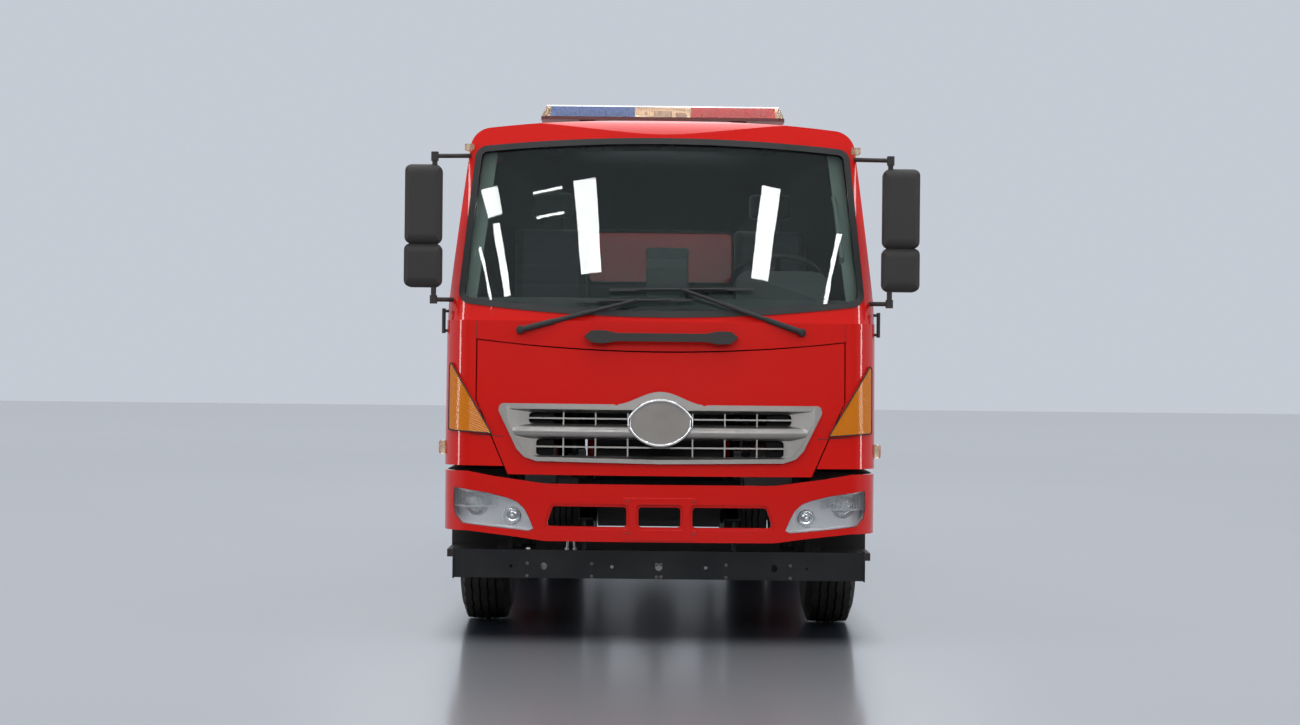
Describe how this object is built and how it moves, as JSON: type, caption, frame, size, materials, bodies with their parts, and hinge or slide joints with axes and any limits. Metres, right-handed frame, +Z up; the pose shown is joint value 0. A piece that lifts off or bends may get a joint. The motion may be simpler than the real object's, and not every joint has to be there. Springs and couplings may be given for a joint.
{
  "type": "airport fire truck",
  "caption": "Two-axle airport fire truck with a tilting forward-control cab, a locker body with roller shutters and a roof monitor.",
  "frame": {"origin": "on the ground under the middle of the truck's bounding box", "axes": "+Z up, +X towards the truck's own left, which is the driver's side, and the front faces -Y"},
  "size_m": [2.736, 7.546, 3.047],
  "materials": {
    "truck_red": "gloss",
    "cab_lining": "matte",
    "chassis_black": "satin",
    "axle_grey": "satin",
    "spring_steel": "satin",
    "aluminium_plain": "satin",
    "grille_grey": "satin",
    "charcoal_plastic": "matte",
    "black_rubber": "matte",
    "tyre_rubber": "matte",
    "rim_silver": "satin",
    "window_glass": "gloss",
    "lamp_glass": "gloss",
    "blue_lens": "gloss",
    "red_lens": "gloss",
    "clear_lens": "gloss",
    "amber_lens": "gloss",
    "bright_metal": "gloss",
    "mirror_silver": "gloss",
    "seat_cloth": "matte"
  },
  "bodies": {
    "chassis": {"frame_rails": "chassis_black", "front_underrun_bar": "chassis_black", "bumper": "truck_red", "headlamps": "bright_metal", "headlamp_lenses": "lamp_glass", "engine_block": "axle_grey", "radiator": "chassis_black", "front_axle": "axle_grey", "rear_axle": "axle_grey", "leaf_springs": "spring_steel", "prop_shaft": "axle_grey", "chassis_tanks": "aluminium_plain", "exhaust": "axle_grey", "front_wings": "charcoal_plastic", "fire_body": "truck_red", "roller_shutters": "aluminium_plain", "ladders": "aluminium_plain", "rear_lamps": "red_lens", "monitor_base": "truck_red"},
    "cab": {"cab_shell": "truck_red", "cab_windows": "window_glass", "window_seals": "black_rubber", "light_bar_base": "truck_red", "light_bar_blue": "blue_lens", "light_bar_clear": "clear_lens", "light_bar_red": "red_lens", "mirrors": "charcoal_plastic", "mirror_glasses": "mirror_silver", "wipers": "black_rubber", "front_handle": "charcoal_plastic", "turn_lamps": "amber_lens", "marker_lamps": "clear_lens", "dashboard": "cab_lining", "steering_wheel": "charcoal_plastic", "seats": "seat_cloth"},
    "front_lid": {"front_lid": "truck_red", "grille": "grille_grey"},
    "door_left": {"door_left": "truck_red", "door_glass_left": "window_glass"},
    "door_right": {"door_right": "truck_red", "door_glass_right": "window_glass"},
    "knuckle_left": {"knuckle_left": "axle_grey"},
    "knuckle_right": {"knuckle_right": "axle_grey"},
    "tie_rod": {"tie_rod": "axle_grey"},
    "wheel_front_left": {"front_tyre_left": "tyre_rubber", "front_rim_left": "rim_silver"},
    "wheel_front_right": {"front_tyre_right": "tyre_rubber", "front_rim_right": "rim_silver"},
    "wheel_rear_left": {"rear_tyres_left": "tyre_rubber", "rear_rims_left": "rim_silver"},
    "wheel_rear_right": {"rear_tyres_right": "tyre_rubber", "rear_rims_right": "rim_silver"},
    "monitor_turret": {"monitor_turret": "truck_red"},
    "monitor_barrel": {"monitor_barrel": "truck_red"}
  },
  "joints": [
    {"name": "cab_tilt", "type": "hinge", "parent": "chassis", "child": "cab", "pos_m": [0, -3.568, 0.98], "axis": [1, 0, 0], "range_deg": [0, 45]},
    {"name": "front_lid_lift", "type": "hinge", "parent": "cab", "child": "front_lid", "pos_m": [0, -3.685, 1.6], "axis": [-1, 0, 0], "range_deg": [0, 75]},
    {"name": "door_left_swing", "type": "hinge", "parent": "cab", "child": "door_left", "pos_m": [1.138, -3.424, 1.5], "axis": [0, 0, -1], "range_deg": [0, 75]},
    {"name": "door_right_swing", "type": "hinge", "parent": "cab", "child": "door_right", "pos_m": [-1.138, -3.424, 1.5], "axis": [0, 0, 1], "range_deg": [0, 75]},
    {"name": "steer_left", "type": "hinge", "parent": "chassis", "child": "knuckle_left", "pos_m": [0.82, -2.513, 0.527], "axis": [0, 0, 1], "range_deg": [-38, 38]},
    {"name": "steer_right", "type": "hinge", "parent": "chassis", "child": "knuckle_right", "pos_m": [-0.82, -2.513, 0.527], "axis": [0, 0, 1], "range_deg": [-38, 38]},
    {"name": "tie_rod_left_end", "type": "hinge", "parent": "knuckle_left", "child": "tie_rod", "pos_m": [0.82, -2.283, 0.393], "axis": [0, 0, 1], "range_deg": [-38, 38]},
    {"name": "wheel_front_left_spin", "type": "hinge", "parent": "knuckle_left", "child": "wheel_front_left", "pos_m": [0.968, -2.513, 0.527], "axis": [1, 0, 0], "continuous": true},
    {"name": "wheel_front_right_spin", "type": "hinge", "parent": "knuckle_right", "child": "wheel_front_right", "pos_m": [-0.968, -2.513, 0.527], "axis": [1, 0, 0], "continuous": true},
    {"name": "wheel_rear_left_spin", "type": "hinge", "parent": "chassis", "child": "wheel_rear_left", "pos_m": [0.845, 1.787, 0.527], "axis": [1, 0, 0], "continuous": true},
    {"name": "wheel_rear_right_spin", "type": "hinge", "parent": "chassis", "child": "wheel_rear_right", "pos_m": [-0.845, 1.787, 0.527], "axis": [1, 0, 0], "continuous": true},
    {"name": "monitor_swivel", "type": "hinge", "parent": "chassis", "child": "monitor_turret", "pos_m": [0, -0.423, 2.802], "axis": [0, 0, 1], "range_deg": [-170, 170]},
    {"name": "monitor_elevation", "type": "hinge", "parent": "monitor_turret", "child": "monitor_barrel", "pos_m": [0, -0.423, 2.985], "axis": [-1, 0, 0], "range_deg": [-5, 70]}
  ],
  "couplings": [
    {"joint": "steer_right", "follows": "steer_left", "ratio": 1},
    {"joint": "tie_rod_left_end", "follows": "steer_left", "ratio": -1}
  ]
}
